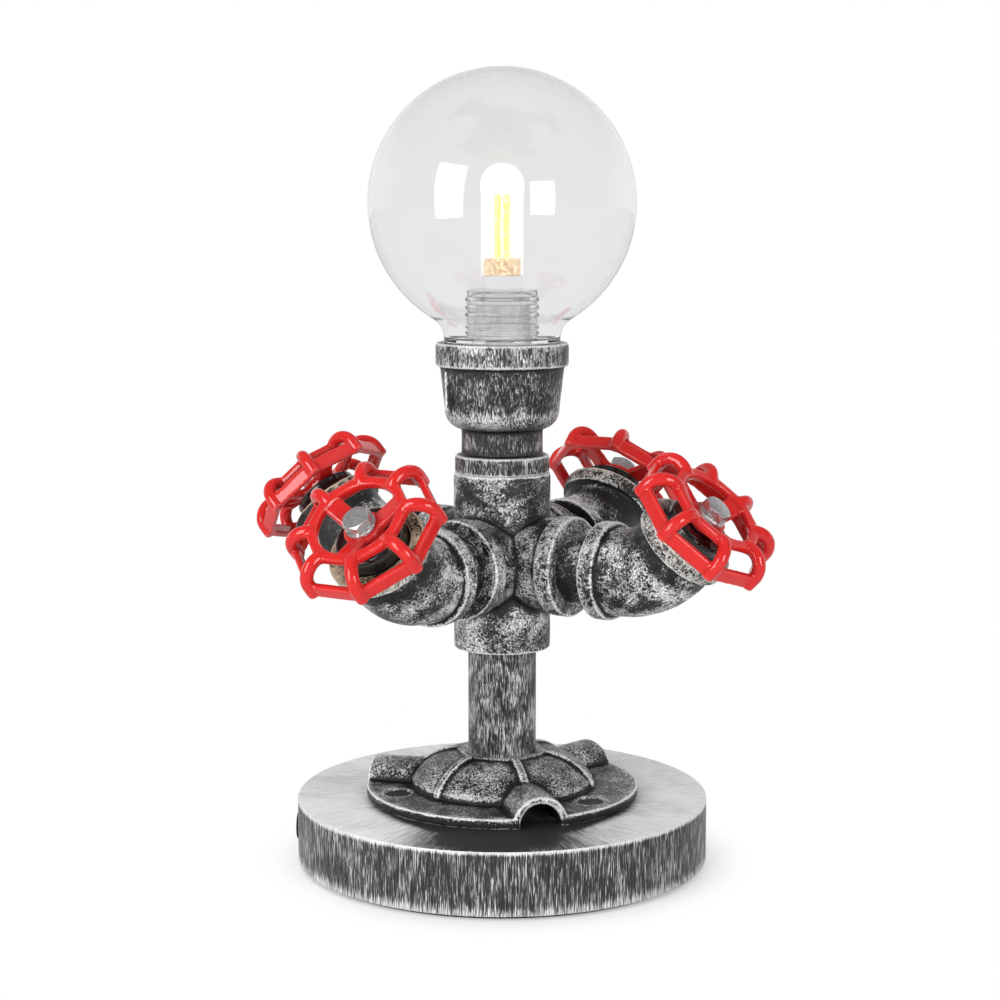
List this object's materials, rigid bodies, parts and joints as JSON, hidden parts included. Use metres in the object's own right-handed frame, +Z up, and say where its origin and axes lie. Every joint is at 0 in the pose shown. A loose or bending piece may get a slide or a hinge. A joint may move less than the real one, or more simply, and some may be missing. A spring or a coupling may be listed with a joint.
{
  "type": "table lamp",
  "caption": "Table lamp of pipe fittings on a round base, with red handwheels on upturned elbows and a clear glass globe over a capsule bulb.",
  "frame": {"origin": "centre of the underside of the felt pad", "axes": "+Z up along the pipe; the front is -Y, and the cable inlet points to -X"},
  "size_m": [0.2039, 0.2012, 0.3118],
  "materials": {
    "felt": "black felt",
    "base_wood": "black paint dry-brushed with silver over a turned board",
    "cover_steel": "black painted sheet",
    "grommet_rubber": "matt black rubber",
    "terminal_plastic": "white moulding",
    "lead_sheath": "black cable sheath",
    "brass": "plain brass",
    "zinc": "bright zinc plating",
    "dark_screw": "blackened steel",
    "flange_iron": "near-black paint with silver rubbed on the high spots",
    "pipe_steel": "dark grey paint, brushed along the pipe with silver",
    "cast_iron": "dark grey paint, speckled with antique silver",
    "reducer_iron": "dark grey paint, heavily brushed with silver",
    "elbow_iron": "dark grey paint, speckled with antique silver",
    "plug_black": "gloss black moulding",
    "red_enamel": "gloss red enamel on a casting",
    "sleeve_aluminium": "grey threaded sleeve",
    "ceramic": "white steatite ceramic",
    "globe_glass": "clear blown glass",
    "bulb_glass": "clear pressed glass",
    "driver_amber": "amber resin ring",
    "filament": "yellow phosphor strips, lit"
  },
  "bodies": {
    "frame": {"felt_pad": "felt", "base_disc": "base_wood", "bottom_cover": "cover_steel", "cover_screws": "zinc", "cable_grommet": "grommet_rubber", "terminal_block": "terminal_plastic", "terminal_screws": "brass", "internal_lead": "lead_sheath", "floor_flange": "flange_iron", "flange_screws": "dark_screw", "riser_pipe": "pipe_steel", "six_way_cross": "cast_iron", "column_nipple": "pipe_steel", "bell_reducer": "reducer_iron", "holder_plate": "zinc", "holder_stem": "brass", "stem_nut": "brass", "holder_sleeve": "sleeve_aluminium", "holder_core": "ceramic", "holder_contacts": "brass", "wheel_bolts": "zinc", "wheel_washers": "zinc", "wheel_nuts": "zinc", "nipple_front_right": "pipe_steel", "elbow_front_right": "elbow_iron", "mouth_plug_front_right": "plug_black", "nipple_back_right": "pipe_steel", "elbow_back_right": "elbow_iron", "mouth_plug_back_right": "plug_black", "nipple_back_left": "pipe_steel", "elbow_back_left": "elbow_iron", "mouth_plug_back_left": "plug_black", "nipple_front_left": "pipe_steel", "elbow_front_left": "elbow_iron", "mouth_plug_front_left": "plug_black"},
    "wheel_front_right": {"handwheel_front_right": "red_enamel"},
    "wheel_back_right": {"handwheel_back_right": "red_enamel"},
    "wheel_back_left": {"handwheel_back_left": "red_enamel"},
    "wheel_front_left": {"handwheel_front_left": "red_enamel"},
    "globe": {"glass_globe": "globe_glass"},
    "bulb": {"bulb_foot": "bulb_glass", "bulb_capsule": "bulb_glass", "bulb_driver_ring": "driver_amber", "bulb_filaments": "filament", "bulb_pins": "zinc"}
  },
  "joints": [
    {"name": "front_right_wheel_turn", "type": "hinge", "parent": "frame", "child": "wheel_front_right", "pos_m": [0.07009, -0.04587, 0.13676], "axis": [0.5917, -0.3872, 0.7071], "continuous": true},
    {"name": "back_right_wheel_turn", "type": "hinge", "parent": "frame", "child": "wheel_back_right", "pos_m": [0.04587, 0.07009, 0.13676], "axis": [0.3872, 0.5917, 0.7071], "continuous": true},
    {"name": "back_left_wheel_turn", "type": "hinge", "parent": "frame", "child": "wheel_back_left", "pos_m": [-0.07009, 0.04587, 0.13676], "axis": [-0.5917, 0.3872, 0.7071], "continuous": true},
    {"name": "front_left_wheel_turn", "type": "hinge", "parent": "frame", "child": "wheel_front_left", "pos_m": [-0.04587, -0.07009, 0.13676], "axis": [-0.3872, -0.5917, 0.7071], "continuous": true},
    {"name": "globe_lift", "type": "slide", "parent": "frame", "child": "globe", "axis": [0, 0, 1], "range_m": [0, 0.085]},
    {"name": "bulb_pull", "type": "slide", "parent": "frame", "child": "bulb", "axis": [0, 0, 1], "range_m": [0, 0.018]}
  ]
}
